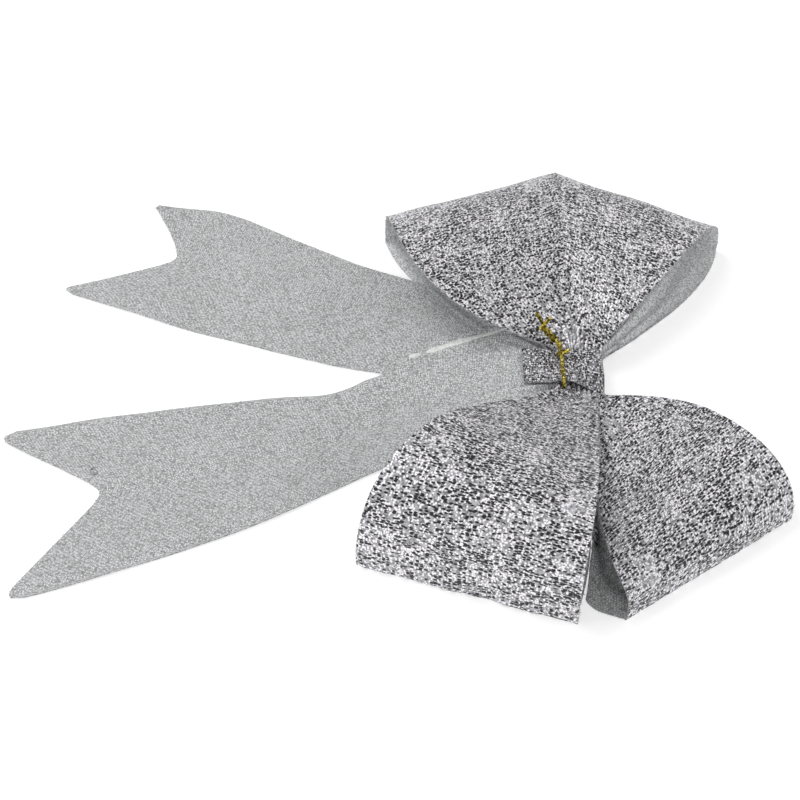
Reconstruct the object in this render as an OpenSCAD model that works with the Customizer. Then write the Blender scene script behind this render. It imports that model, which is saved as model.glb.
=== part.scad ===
// Gift bow of wide glitter ribbon, lying on its front with its back and its twist tie up.
// Four flattened loops and two fishtail ends fan out from a waist held by a narrow band.
// +X runs from the tail tips to the loops, +Y from the near loops to the far ones.

/* [Ribbon] */
// Thickness that stands for one layer of ribbon in a loop or a tail
sheet_t = 0.9; // [0.6:0.1:1.1]
// Number of steps along the top of a loop
loop_steps = 22; // [12:1:26]
// Number of steps across a loop
cross_steps = 4; // [2:1:6]

/* [Loops] */
// Crest height of the far-left loop
crest_far_left = 20; // [15:1:28]
// Crest height of the far-right loop
crest_far_right = 19; // [15:1:28]
// Crest height of the near-left loop
crest_near_left = 34; // [24:1:36]
// Crest height of the near-right loop
crest_near_right = 24; // [18:1:30]
// Height of a loop where it leaves the waist
loop_root_h = 8.0; // [7:0.1:8.6]
// Distance from the waist's middle to where a loop begins
loop_start_y = 9.2; // [9:0.1:10]
// Gap between two loops that lie side by side
loop_gap = 0.6; // [0.4:0.1:1.2]

/* [Tails] */
// Height of the tails where they leave the waist
tail_root_h = 6.3; // [5.8:0.1:6.6]
// Distance from the waist's middle to where the tails begin
tail_start_x = 13.4; // [13.2:0.1:14]
// Share of the far tail's length that its fishtail notch takes
far_notch = 0.19; // [0.1:0.01:0.25]
// Share of the near tail's length that its fishtail notch takes
near_notch = 0.18; // [0.1:0.01:0.25]
// Distance from the waist's middle to the crease where a tail's free end lifts
tail_crease_x = 55; // [54:0.5:58]
// Number of steps along a tail's free end
tail_steps = 18; // [12:1:24]
// Number of steps along a tail's root, between the waist and the crease
root_steps = 10; // [6:1:16]
// Number of steps across a tail, an even number so that the notch has its point
tail_cross = 8; // [4:2:12]

/* [Waist] */
// Width of the centre band
band_w = 15; // [13:0.5:15]
// Thickness of the centre band
band_t = 0.7; // [0.5:0.1:0.8]
// Height of the centre band's back face
band_h = 9.4; // [9.4:0.1:9.8]
// Left end of the band's back run, from the waist's middle
band_left = 12; // [9:0.5:12.5]
// Right side of the band, from the waist's middle
band_right = 13; // [12.8:0.1:14]
// Depth of the pinch that the tie makes in each edge of the band
band_pinch = 1.1; // [0.5:0.1:1.4]
// Thickness of one pleated layer in the waist
pleat_t = 0.8; // [0.6:0.1:0.8]
// Height of the pleats' waves from their middle
pleat_wave = 0.6; // [0.3:0.1:0.6]
// Number of pleats across the waist
pleats = 5; // [3:1:6]

/* [Tie] */
// Outer radius of the tinsel sleeve
tinsel_r = 0.6; // [0.5:0.05:0.6]
// Radius of the wire in the sleeve
wire_r = 0.25; // [0.2:0.01:0.27]
// Turns of the twist in the tie's ends
tie_turns = 2; // [1:1:2]

/* [Hidden] */
$fn = 48;

// Plan corners and bows of the loops, from the waist's middle.
// A loop's inner edge runs straight beside its neighbour, its outer edge is bowed.
inner_far = [4, 96.5];
inner_near = [3, -91];
outer_far_left = [-54.5, 72];
outer_far_right = [58, 67];
outer_near_left = [-61, -72];
outer_near_right = [61, -55];
bow_far_left = [-48, 25];
bow_far_right = [38, 20];
bow_near_left = [-32, -24];
bow_near_right = [43, -12];
root_left = -5;
root_right = 12;

// Side outline of a loop: handles of its curve as shares of its reach and its crest
front_steps = 8;
fold_lean = 1.03;
fold_rise = 1.62;
sag_share = 0.49;
sag_rise = 0.74;
// Shares of the reach that the ribbon's own thickness takes at the fold and the waist
fold_wall = 0.016;
solid_root = 0.05;
// Height of the slanted back layer at the waist, in thicknesses
root_slant = 1.1;

// Plan curves of the tails' edges, from the waist's middle
far_tail_lower = [[-tail_start_x, 0.5], [-55, 2], [-95, 16], [-160.5, 46.3]];
far_tail_upper = [[-tail_start_x, 9], [-46, 30], [-72, 80], [-135, 90]];
near_tail_lower = [[-tail_start_x, -9.5], [-55, -36], [-100, -66], [-155, -82.5]];
near_tail_upper = [[-tail_start_x, -0.5], [-55, 4], [-90, -8], [-168.3, -21.6]];
// Share of a tail's length over which it comes down from the waist
tail_fall = 0.36;
// Share of a tail's length left open at its crease
crease_gap = 0.002;

// The waist's middle, measured from the middle of the whole bow's box
waist = [-(near_tail_upper[3][0] + outer_near_right[0]) / 2,
         -(inner_far[1] + inner_near[1]) / 2, 0];

// Waist block: the pinched ribbon between the loops
waist_left = -4.2;
waist_right = 11.8;
waist_half = 7.2;
layer_pitch = pleat_t + 0.15;
first_layer_z = band_t + 0.1 + pleat_wave + pleat_t / 2;
wave_points = 8;

// Tail ribbon's pinched middle, and its fan under the band's free end
fan_left = -12.8;
fan_half = 8.6;
fan_t = 0.8;
fan_z = 6.25;

// Band: corners, room round what it holds, the slot that the tails come out of, and
// the round cutters that pinch its edges
band_corner_r = 2.2;
band_clearance = 0.3;
band_slot_w = 4.5;
pinch_r = 60;
pinch_h = 6;
pinch_sides = 120;

// Dab of adhesive that holds the band's free end down
glue_x = 7;
glue_r = 2.8;

// Tie: a flattened ring round the band's back run
tie_bend_r = 1.1;
tie_mid_z = band_h - band_t / 2;
tie_half = band_w / 2 - band_pinch + 1.0;
sleeve_bore_r = wire_r + 0.03;
twist_root = [0, tie_half + tie_bend_r + 1.1, band_h + 1.4];
twist_fork = [-5.4, tie_half + 2.4, band_h + 10.5];
long_tip = [-7.6, tie_half + 2.4, band_h + 13.6];
short_tip = [-2.6, tie_half + 2.3, band_h + 13.0];
twist_rings = 30;
tip_rings = 6;
strand_sides = 8;
strand_r = tinsel_r - 0.1;
strand_off = strand_r + 0.2;

ribbon_silver = [0.72, 0.73, 0.76];
reverse_grey = [0.66, 0.67, 0.68];

function mix(a, b, t) = a + (b - a) * t;
function bezier(p, t) = len(p) == 1 ? p[0]
    : bezier([for (i = [0 : len(p) - 2]) mix(p[i], p[i + 1], t)], t);
function unit(v) = v / norm(v);

// Side outline of a loop's outer face: [share of the reach, height], starting
// at the waist, out along the front layer and back along the raised back layer.
// The back layer is a curve with two handles: steep above the fold, low at the middle.
function loop_outside(crest) =
    let (front = [for (i = [0 : front_steps - 1]) [i / front_steps, 0]],
         back = [[1, 0], [fold_lean, fold_rise * crest],
                 [sag_share, sag_rise * crest], [0, loop_root_h]])
    concat(front, [for (i = [0 : loop_steps]) bezier(back, i / loop_steps)]);

// The same outline one layer further in, with a solid root at the waist
function loop_inside(crest) =
    let (fold = 1 - fold_wall,
         front = [for (i = [0 : front_steps - 1])
            [mix(solid_root, fold, i / front_steps), sheet_t]],
         back = [[fold, sheet_t], [fold_lean - fold_wall, fold_rise * crest - 2 * sheet_t],
                 [sag_share, sag_rise * crest - sheet_t],
                 [solid_root, loop_root_h - root_slant * sheet_t]])
    concat(front, [for (i = [0 : loop_steps]) bezier(back, i / loop_steps)]);

// A closed ring of ribbon between two plan edges, given by functions of the reach.
// side is 1 where the outer edge lies clockwise of the inner one, else -1
module ribbon_loop(inner_root, inner_fold, outer_root, outer_bow, outer_fold, crest, side) {
    outside = loop_outside(crest);
    inside = loop_inside(crest);
    n = len(outside);
    outer_edge = [outer_root, outer_bow, outer_fold];
    inner_edge = [inner_root, inner_fold];
    points = [for (skin = [outside, inside], j = [0 : cross_steps], q = skin)
        let (p = mix(bezier(inner_edge, q[0]), bezier(outer_edge, q[0]), j / cross_steps))
        [p[0], p[1], q[1]]];
    skin_size = n * (cross_steps + 1);
    outer_faces = [for (j = [0 : cross_steps - 1], k = [0 : n - 1], half = [0, 1])
        let (a = j * n + k, b = j * n + (k + 1) % n, c = a + n, d = b + n)
        half == 0 ? [a, b, d] : [a, d, c]];
    inner_faces = [for (f = outer_faces) [f[2], f[1], f[0]] + skin_size * [1, 1, 1]];
    rim_faces = [for (rim = [0, 1], k = [0 : n - 1], half = [0, 1])
        let (row = rim * cross_steps * n,
             a = row + k,
             b = row + (k + 1) % n,
             c = a + skin_size,
             d = b + skin_size,
             face = half == 0 ? [a, c, d] : [a, d, b])
        rim == 0 ? face : [face[2], face[1], face[0]]];
    faces = concat(outer_faces, inner_faces, rim_faces);
    color(ribbon_silver)
    polyhedron(points, side < 0 ? faces : [for (f = faces) [f[2], f[1], f[0]]]);
}

module loop_far_left()
    translate(waist)
    ribbon_loop([inner_far[0] - loop_gap / 2, loop_start_y], inner_far - [loop_gap / 2, 0],
                [root_left, loop_start_y], bow_far_left, outer_far_left, crest_far_left, -1);

module loop_far_right()
    translate(waist)
    ribbon_loop([inner_far[0] + loop_gap / 2, loop_start_y], inner_far + [loop_gap / 2, 0],
                [root_right, loop_start_y], bow_far_right, outer_far_right, crest_far_right, 1);

module loop_near_left()
    translate(waist)
    ribbon_loop([inner_near[0] - loop_gap / 2, -loop_start_y], inner_near - [loop_gap / 2, 0],
                [root_left, -loop_start_y], bow_near_left, outer_near_left, crest_near_left, 1);

module loop_near_right()
    translate(waist)
    ribbon_loop([inner_near[0] + loop_gap / 2, -loop_start_y], inner_near + [loop_gap / 2, 0],
                [root_right, -loop_start_y], bow_near_right, outer_near_right,
                crest_near_right, -1);

// Point of a tail at a share of its width and of its length
function tail_point(lower, upper, w, s) = mix(bezier(lower, s), bezier(upper, s), w);

// Share of a tail's length at which it crosses the crease, by halving
function crease_share(lower, upper, w, lo = 0, hi = 1, halvings = 16) =
    let (middle = (lo + hi) / 2)
    halvings == 0 ? middle
    : tail_point(lower, upper, w, middle)[0] > -tail_crease_x
        ? crease_share(lower, upper, w, middle, hi, halvings - 1)
        : crease_share(lower, upper, w, lo, middle, halvings - 1);

// A sheet between two plan edges that comes down from the waist and ends in a notch:
// its free end past the crease, or its root before it
module ribbon_tail(lower, upper, notch, free) {
    steps = free ? tail_steps : root_steps;
    points = [for (face = [0, 1], j = [0 : tail_cross], i = [0 : steps])
        let (w = j / tail_cross,
             crease = crease_share(lower, upper, w),
             tip = 1 - notch * (1 - abs(2 * w - 1)),
             s = free ? mix(crease + crease_gap, tip, i / steps) : crease * i / steps,
             p = tail_point(lower, upper, w, s),
             fall = max(0, 1 - s / tail_fall))
        [p[0], p[1], (tail_root_h - sheet_t) * fall * fall + face * sheet_t]];
    n = steps + 1;
    face_size = n * (tail_cross + 1);
    bottom = [for (j = [0 : tail_cross - 1], i = [0 : steps - 1], half = [0, 1])
        let (a = j * n + i, b = a + 1, c = a + n, d = c + 1)
        half == 0 ? [a, d, b] : [a, c, d]];
    top = [for (f = bottom) [f[2], f[1], f[0]] + face_size * [1, 1, 1]];
    rim = concat([for (i = [0 : steps]) i],
                 [for (j = [1 : tail_cross]) j * n + steps],
                 [for (i = [1 : steps]) tail_cross * n + steps - i],
                 [for (j = [1 : tail_cross - 1]) (tail_cross - j) * n]);
    sides = [for (k = [0 : len(rim) - 1], half = [0, 1])
        let (a = rim[k], b = rim[(k + 1) % len(rim)])
        half == 0 ? [a, b, b + face_size] : [a, b + face_size, a + face_size]];
    color(reverse_grey)
    polyhedron(points, concat(bottom, top, sides));
}

module tail_far()
    translate(waist)
    ribbon_tail(far_tail_lower, far_tail_upper, far_notch, true);

module tail_near()
    translate(waist)
    ribbon_tail(near_tail_lower, near_tail_upper, near_notch, true);

module tail_far_root()
    translate(waist)
    ribbon_tail(far_tail_lower, far_tail_upper, far_notch, false);

module tail_near_root()
    translate(waist)
    ribbon_tail(near_tail_lower, near_tail_upper, near_notch, false);

// One pleated layer of the pinched ribbon
module pleated_layer(level) {
    count = pleats * wave_points;
    function wave(i) = pleat_wave * sin(360 * pleats * i / count);
    outline = concat(
        [for (i = [0 : count]) [mix(waist_left, waist_right, i / count), wave(i)]],
        [for (i = [0 : count])
            [mix(waist_right, waist_left, i / count), wave(count - i) + pleat_t]]);
    color(ribbon_silver)
    translate(waist + [0, waist_half, first_layer_z - pleat_t / 2 + level * layer_pitch])
    rotate([90, 0, 0])
    linear_extrude(2 * waist_half)
    polygon(outline);
}

module ring_1_front_gather() pleated_layer(0);

module ring_2_front_gather() pleated_layer(1);

module ring_1_back_gather() pleated_layer(2);

module ring_2_back_gather() pleated_layer(3);

module tail_gather()
    color(reverse_grey)
    translate(waist + [0, 0, fan_z])
    linear_extrude(fan_t)
    polygon([[waist_right, -waist_half], [waist_right, waist_half], [waist_left, waist_half],
             [fan_left, fan_half], [fan_left, -fan_half], [waist_left, -waist_half]]);

module round_rect(x0, x1, z0, z1, r) {
    translate([x0 + r, z0])
    square([x1 - x0 - 2 * r, z1 - z0]);
    translate([x0, z0 + r])
    square([x1 - x0, z1 - z0 - 2 * r]);
    for (x = [x0 + r, x1 - r], z = [z0 + r, z1 - r])
        translate([x, z])
        circle(r);
}

// The band's section: a rounded ring, open on the left where the tails come out
module band_section() {
    wall_left = waist_left - band_t - band_clearance;
    difference() {
        round_rect(wall_left, band_right, 0, band_h, band_corner_r);
        round_rect(wall_left + band_t, band_right - band_t, band_t, band_h - band_t,
                   band_corner_r - band_t);
        translate([wall_left - band_t, fan_z - band_clearance])
        square([band_slot_w, band_h]);
    }
    translate([-band_left, band_h - band_t])
    square([band_left, band_t]);
}

module centre_band() {
    color(ribbon_silver)
    translate(waist)
    difference() {
        translate([0, band_w / 2, 0])
        rotate([90, 0, 0])
        linear_extrude(band_w)
        band_section();
        for (side = [-1, 1])
            translate([0, side * (band_w / 2 + pinch_r - band_pinch), band_h - pinch_h / 2])
            cylinder(h = pinch_h, r = pinch_r, $fn = pinch_sides);
    }
}

module band_glue() {
    glue_bottom = fan_z + fan_t;
    color([0.9, 0.88, 0.8])
    translate(waist + [glue_x, 0, glue_bottom])
    cylinder(h = band_h - band_t - glue_bottom, r = glue_r);
}

// A round bar or sleeve bent into a flattened ring round the band's back run
module flat_ring(r) {
    for (side = [-1, 1])
        translate([0, 0, side * tie_bend_r])
        rotate([90, 0, 0])
        cylinder(h = 2 * tie_half, r = r, center = true);
    for (side = [0, 180])
        rotate([0, 0, side])
        translate([0, tie_half, 0])
        rotate([0, -90, 0])
        rotate_extrude(angle = 180)
        translate([tie_bend_r, 0])
        circle(r);
}

module tie_tinsel()
    color([0.62, 0.52, 0.12])
    translate(waist + [0, 0, tie_mid_z])
    difference() {
        flat_ring(tinsel_r);
        flat_ring(sleeve_bore_r);
    }

module tie_wire()
    color([0.5, 0.5, 0.5])
    translate(waist + [0, 0, tie_mid_z])
    flat_ring(wire_r);

// A tube of flat rings along a list of points
module strand(path) {
    last = len(path) - 1;
    points = [for (i = [0 : last])
        let (d = unit(path[min(last, i + 1)] - path[max(0, i - 1)]),
             u = unit(cross(d, [0, 1, 0])),
             v = cross(d, u))
        for (k = [0 : strand_sides - 1])
            let (a = 360 * k / strand_sides)
            path[i] + strand_r * (u * cos(a) + v * sin(a))];
    wall = [for (i = [0 : last - 1], k = [0 : strand_sides - 1], half = [0, 1])
        let (a = i * strand_sides + k,
             b = i * strand_sides + (k + 1) % strand_sides,
             c = a + strand_sides,
             d = b + strand_sides)
        half == 0 ? [a, d, b] : [a, c, d]];
    start_cap = [for (k = [1 : strand_sides - 2]) [0, k, k + 1]];
    end_cap = [for (f = start_cap) [f[2], f[1], f[0]] + last * strand_sides * [1, 1, 1]];
    color([0.66, 0.55, 0.14])
    translate(waist)
    polyhedron(points, concat(wall, start_cap, end_cap));
}

// Route of one strand of the twist, from its root to the fork and out to its own tip
function twisted(phase, tip) =
    let (d = unit(twist_fork - twist_root),
         u = unit(cross(d, [0, 1, 0])),
         v = cross(d, u),
         around = [for (i = [0 : twist_rings])
            let (a = phase + 360 * tie_turns * i / twist_rings)
            mix(twist_root, twist_fork, i / twist_rings)
            + strand_off * (u * cos(a) + v * sin(a))],
         from = around[twist_rings])
    concat(around, [for (i = [1 : tip_rings]) mix(from, tip, i / tip_rings)]);

module tie_end_long() strand(twisted(0, long_tip));

module tie_end_short() strand(twisted(180, short_tip));

loop_far_left();
loop_far_right();
loop_near_left();
loop_near_right();
tail_far();
tail_near();
tail_far_root();
tail_near_root();
ring_1_front_gather();
ring_1_back_gather();
ring_2_front_gather();
ring_2_back_gather();
tail_gather();
centre_band();
band_glue();
tie_wire();
tie_tinsel();
tie_end_long();
tie_end_short();
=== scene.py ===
"""Looks of a glitter ribbon gift bow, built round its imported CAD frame. Blender 4.5."""

import math

import bpy
import numpy as np
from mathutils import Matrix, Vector


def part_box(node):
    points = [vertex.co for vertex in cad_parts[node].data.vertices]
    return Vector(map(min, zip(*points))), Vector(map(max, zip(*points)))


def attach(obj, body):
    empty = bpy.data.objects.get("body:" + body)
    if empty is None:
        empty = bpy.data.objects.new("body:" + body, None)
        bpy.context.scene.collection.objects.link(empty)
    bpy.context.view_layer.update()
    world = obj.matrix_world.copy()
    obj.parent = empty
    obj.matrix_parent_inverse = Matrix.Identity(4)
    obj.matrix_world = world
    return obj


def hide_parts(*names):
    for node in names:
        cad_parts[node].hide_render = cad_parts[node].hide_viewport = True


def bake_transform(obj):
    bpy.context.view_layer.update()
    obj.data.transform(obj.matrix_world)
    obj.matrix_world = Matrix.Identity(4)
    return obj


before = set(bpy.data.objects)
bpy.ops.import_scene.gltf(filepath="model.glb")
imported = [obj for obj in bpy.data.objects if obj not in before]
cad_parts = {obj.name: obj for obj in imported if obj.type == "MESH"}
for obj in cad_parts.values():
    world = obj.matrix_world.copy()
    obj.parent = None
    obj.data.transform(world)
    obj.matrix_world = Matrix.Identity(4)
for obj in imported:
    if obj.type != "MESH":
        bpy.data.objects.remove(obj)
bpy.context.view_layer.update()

MM = 0.001
RIBBON_W = 63.0
SHEET_T = 0.35

# Hinge line of the loops and crease line of the tails, from the waist's middle
HINGE_Y = 8.6
HINGE_Z = 8.2

# Where a loop's ribbon begins: inside the band, then at the band's edge
WAIST_MIDDLE_Y = 3.0
ROOT_Y = 9.2
WAIST_BACK_Z = 6.2
WAIST_FRONT_Z = 1.7
FLOOR_LAYER_Z = 0.3
DEEPEST_SAG = 0.1
FRONT_FALL_Y = 12.0

# Pleats: the steepest slope, and how high they are in the layers of a loop that show
# and in those that are hidden, inside the band and beyond its edge
STEEPEST_PLEAT = 3.9
PLEAT_PHASE = 0.6
HIDDEN_PLEAT = 0.8
SHOWN_PLEAT = 0.22
SHOWN_FADE = 9.0
FAINT_PLEAT = 0.12
FAINT_FADE = 45.0
FLOOR_PLEAT = 2.5
FLOOR_FADE = 60.0
FLOOR_EDGE_SHARE = 0.2

# How much finer the loops' weave is at the waist, and where along the ribbon that ends
WAIST_WEAVE = 1.2
WAIST_WEAVE_FADE = (10, 55)

# A cloth's unevenness: how many waves it sums, and how much their lengths differ
WAVES = 6
WAVE_SPREAD = (0.6, 1.6)

# Loose fibres on cut edges: shortest length, half width, how far they lean along the edge
# and out of the sheet, how far their roots reach in, and how far they stray along the edge
FIBRE_SHORTEST = 0.15
FIBRE_LENGTH_SHARES = (0.25, 1.0)
FIBRE_HALF = (0.04, 0.1)
FIBRE_LEAN = 1.2
FIBRE_RISE = 0.7
FIBRE_SINK = 0.1
FIBRE_STRAY = 0.5

# Side outline of a loop's back layer: handles as shares of its reach and its crest
FOLD_LEAN = 1.03
FOLD_RISE = 1.62
SAG_SHARE = 0.49


def waist_point():
    """The waist's middle on the floor, in metres."""
    tie_low, tie_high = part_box("tie_wire")
    band_low, band_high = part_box("centre_band")
    return np.array([(tie_low.x + tie_high.x) / 2, (band_low.y + band_high.y) / 2, 0.0])


WAIST = waist_point()


def placed(points):
    """Points in millimetres from the waist, in metres in the frame."""
    return np.asarray(points, float) * MM + WAIST


# ---------------------------------------------------------------- curves and noise

def mix(a, b, share):
    return a + (b - a) * share


def smooth_step(x, start, end):
    share = np.clip((np.asarray(x, float) - start) / (end - start), 0, 1)
    return share * share * (3 - 2 * share)


def bezier(points, t):
    """Points of a Bezier curve at each share t."""
    t = np.asarray(t, float)[:, None]
    layer = [np.asarray(p, float)[None, :] for p in points]
    while len(layer) > 1:
        layer = [mix(a, b, t) for a, b in zip(layer, layer[1:])]
    return layer[0]


def lengths_along(line):
    steps = np.linalg.norm(np.diff(line, axis=0), axis=1)
    return np.concatenate([[0.0], np.cumsum(steps)])


def resampled(wanted, run, line):
    """Points of a line at the wanted distances, given the distance of each of its own."""
    return np.stack([np.interp(wanted, run, column) for column in line.T], -1)


def unit_tangents(line):
    tangents = np.gradient(line, axis=0)
    return tangents / np.linalg.norm(tangents, axis=1, keepdims=True)


def smooth_path(points, shares):
    """A smooth curve through the points, at the given shares of its length."""
    p = np.asarray(points, float)
    ring = np.vstack([2 * p[0] - p[1], p, 2 * p[-1] - p[-2]])
    t = np.linspace(0, 1, 24)[:, None]
    spans = []
    for a, b, c, d in zip(ring, ring[1:], ring[2:], ring[3:]):
        spans.append(0.5 * (2 * b + (c - a) * t + (2 * a - 5 * b + 4 * c - d) * t ** 2
                            + (3 * b - a - 3 * c + d) * t ** 3))
    line = np.vstack(spans)
    run = lengths_along(line)
    return resampled(np.asarray(shares) * run[-1], run, line)


def gathers(grid, pleats, height):
    """Offsets of the pleats across each row. height is the most that they may have, and
    narrow rows have lower ones, so that no pleat is too steep."""
    across = distances_across(grid)
    width = np.maximum(across[:, -1:] * 2, 0.1)
    steepest = STEEPEST_PLEAT * width / (2 * math.pi * pleats)
    turns = pleats * (across / width + 0.5)
    return np.minimum(height, steepest) * np.sin(2 * math.pi * turns + PLEAT_PHASE)


def undulation(along, across, rng, height, wavelength):
    """A gentle unevenness of cloth, as a sum of a few slanted waves."""
    total = np.zeros(np.broadcast(along, across).shape)
    for _ in range(WAVES):
        turn = rng.uniform(0, math.pi)
        length = wavelength * rng.uniform(*WAVE_SPREAD)
        phase = rng.uniform(0, 2 * math.pi)
        run = along * math.cos(turn) + across * math.sin(turn)
        total = total + np.sin(2 * math.pi * run / length + phase)
    return height * total / WAVES


# ---------------------------------------------------------------- meshes

def surface_normals(grid):
    normals = np.cross(np.gradient(grid, axis=0), np.gradient(grid, axis=1))
    return normals / np.maximum(np.linalg.norm(normals, axis=2, keepdims=True), 1e-9)


def shell_faces(rows, columns):
    """Faces of a closed shell between two equal grids: those of the first grid, of the
    second, and of the wall round their rims. The second grid's points follow the first's."""
    size = rows * columns
    number = np.arange(size).reshape(rows, columns)
    front = np.stack([number[:-1, :-1], number[1:, :-1], number[1:, 1:],
                      number[:-1, 1:]], -1).reshape(-1, 4)
    rim = np.concatenate([number[:, 0], number[-1, 1:], number[-2::-1, -1],
                          number[0, -2:0:-1]])
    after = np.roll(rim, -1)
    wall = np.stack([after, rim, rim + size, after + size], -1)
    return [front, front[:, ::-1] + size, wall]


def sliver_faces(first):
    """Faces of a sliver: three root points, then its tip."""
    return [[first, first + 2, first + 1], [first, first + 1, first + 3],
            [first + 1, first + 2, first + 3], [first + 2, first, first + 3]]


def ring_points(at, tangent, radii):
    """Points round a path, one for each radius."""
    turns = np.arange(len(radii)) * 2 * math.pi / len(radii)
    return [at + r * square_to(tangent, a) for r, a in zip(radii, turns)]


def tube_faces(first, rings, sides):
    """Faces of a tube of that many rings, with both ends closed."""
    faces = []
    for ring in range(rings - 1):
        start = first + ring * sides
        for k in range(sides):
            a = start + k
            b = start + (k + 1) % sides
            faces.append([a, b, b + sides, a + sides])
    last = first + (rings - 1) * sides
    faces.append([first + k for k in reversed(range(sides))])
    faces.append([last + k for k in range(sides)])
    return faces


def square_to(direction, angle):
    """A unit vector square to a unit direction, at an angle about it."""
    is_along_y = abs(direction[1]) >= 0.8
    helper = np.array([1.0, 0.0, 0.0]) if is_along_y else np.array([0.0, 1.0, 0.0])
    u = np.cross(direction, helper)
    u = u / np.linalg.norm(u)
    return u * math.cos(angle) + np.cross(direction, u) * math.sin(angle)


def frayed_ends(grid, normals, ribbon, rng, sides, per_side, longest):
    """Tiny loose fibres that stand out of the sheet's edges, each a closed sliver. Near
    the floor they point upwards."""
    points, faces, coords = [], [], []
    du, dv = np.gradient(grid, axis=0), np.gradient(grid, axis=1)
    rows, columns = grid.shape[:2]
    for side in sides:
        for _ in range(per_side):
            if side == "end":
                r, c = rows - 1, rng.integers(1, columns - 1)
                out, run = du[r, c], dv[r, c]
            else:
                c = 0 if side == "first" else columns - 1
                r = rng.integers(1, rows - 1)
                out, run = dv[r, c] * (-1 if side == "first" else 1), du[r, c]
            out, run = out / np.linalg.norm(out), run / np.linalg.norm(run)
            length = longest * rng.uniform(*FIBRE_LENGTH_SHARES) ** 2 + FIBRE_SHORTEST
            lean = run * rng.uniform(-FIBRE_LEAN, FIBRE_LEAN)
            lean = lean + normals[r, c] * rng.uniform(-FIBRE_RISE, FIBRE_RISE)
            direction = (out + lean) / np.linalg.norm(out + lean)
            if grid[r, c, 2] < length:
                direction[2] = abs(direction[2])
            half = rng.uniform(*FIBRE_HALF)
            stray = run * rng.uniform(-FIBRE_STRAY, FIBRE_STRAY)
            root = grid[r, c] - out * FIBRE_SINK + stray
            faces += sliver_faces(len(points))
            points += [root - run * half, root + run * half,
                       root + normals[r, c] * half * 1.5, root + direction * length]
            coords += [ribbon[r, c]] * 4
    return points, faces, coords


def linked(name, data):
    """A new object in the scene."""
    obj = bpy.data.objects.new(name, data)
    bpy.context.scene.collection.objects.link(obj)
    return obj


def mesh_object(name, points, faces, materials, face_materials, ribbon=None,
                sharp_degrees=60):
    mesh = bpy.data.meshes.new(name)
    mesh.from_pydata([tuple(p) for p in placed(points)], [], [list(f) for f in faces])
    for material in materials:
        mesh.materials.append(material)
    mesh.polygons.foreach_set("material_index", np.asarray(face_materials, np.int32))
    mesh.polygons.foreach_set("use_smooth", np.ones(len(faces), bool))
    if ribbon is not None:
        attribute = mesh.attributes.new("ribbon", "FLOAT_VECTOR", "POINT")
        attribute.data.foreach_set("vector", np.asarray(ribbon, np.float32).ravel())
    mesh.set_sharp_from_angle(angle=math.radians(sharp_degrees))
    mesh.update()
    return linked(name, mesh)


def distances_across(grid):
    """Distance of each grid point from its row's middle, along the row."""
    steps = np.linalg.norm(np.diff(grid, axis=1), axis=2)
    run = np.concatenate([np.zeros((len(grid), 1)), np.cumsum(steps, axis=1)], axis=1)
    return run - run[:, -1:] / 2


def sheet_object(name, grid, along, across, materials, rng, flip, frayed, fibres,
                 longest_fibre, thickness=SHEET_T):
    """A thin closed sheet: face skin, back skin, cut edges and loose fibres.
    along and across are the weave's coordinates in millimetres. The face is on the side
    that the grid's normals point to, or on the other side with flip."""
    rows, columns = grid.shape[:2]
    normals = surface_normals(grid) * (-1 if flip else 1)
    ribbon = np.stack(np.broadcast_arrays(across, along[:, None], np.zeros((1, 1))), -1)
    skins = [grid + normals * thickness / 2, grid - normals * thickness / 2]
    parts = shell_faces(rows, columns)
    if flip:
        parts = [part[:, ::-1] for part in parts]
    fibre_points, fibre_faces, fibre_ribbon = frayed_ends(
        grid, normals, ribbon, rng, frayed, fibres, longest_fibre)
    points = np.vstack([skin.reshape(-1, 3) for skin in skins] + [fibre_points])
    coords = np.vstack([ribbon.reshape(-1, 3)] * 2 + [fibre_ribbon])
    faces = np.vstack(parts).tolist()
    faces += (np.asarray(fibre_faces) + 2 * rows * columns).tolist()
    face_skin, back_skin, wall = [len(part) for part in parts]
    indices = [0] * face_skin + [1] * back_skin + [2] * (wall + len(fibre_faces))
    return mesh_object(name, points, faces, materials, indices, coords)


# ---------------------------------------------------------------- materials

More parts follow.
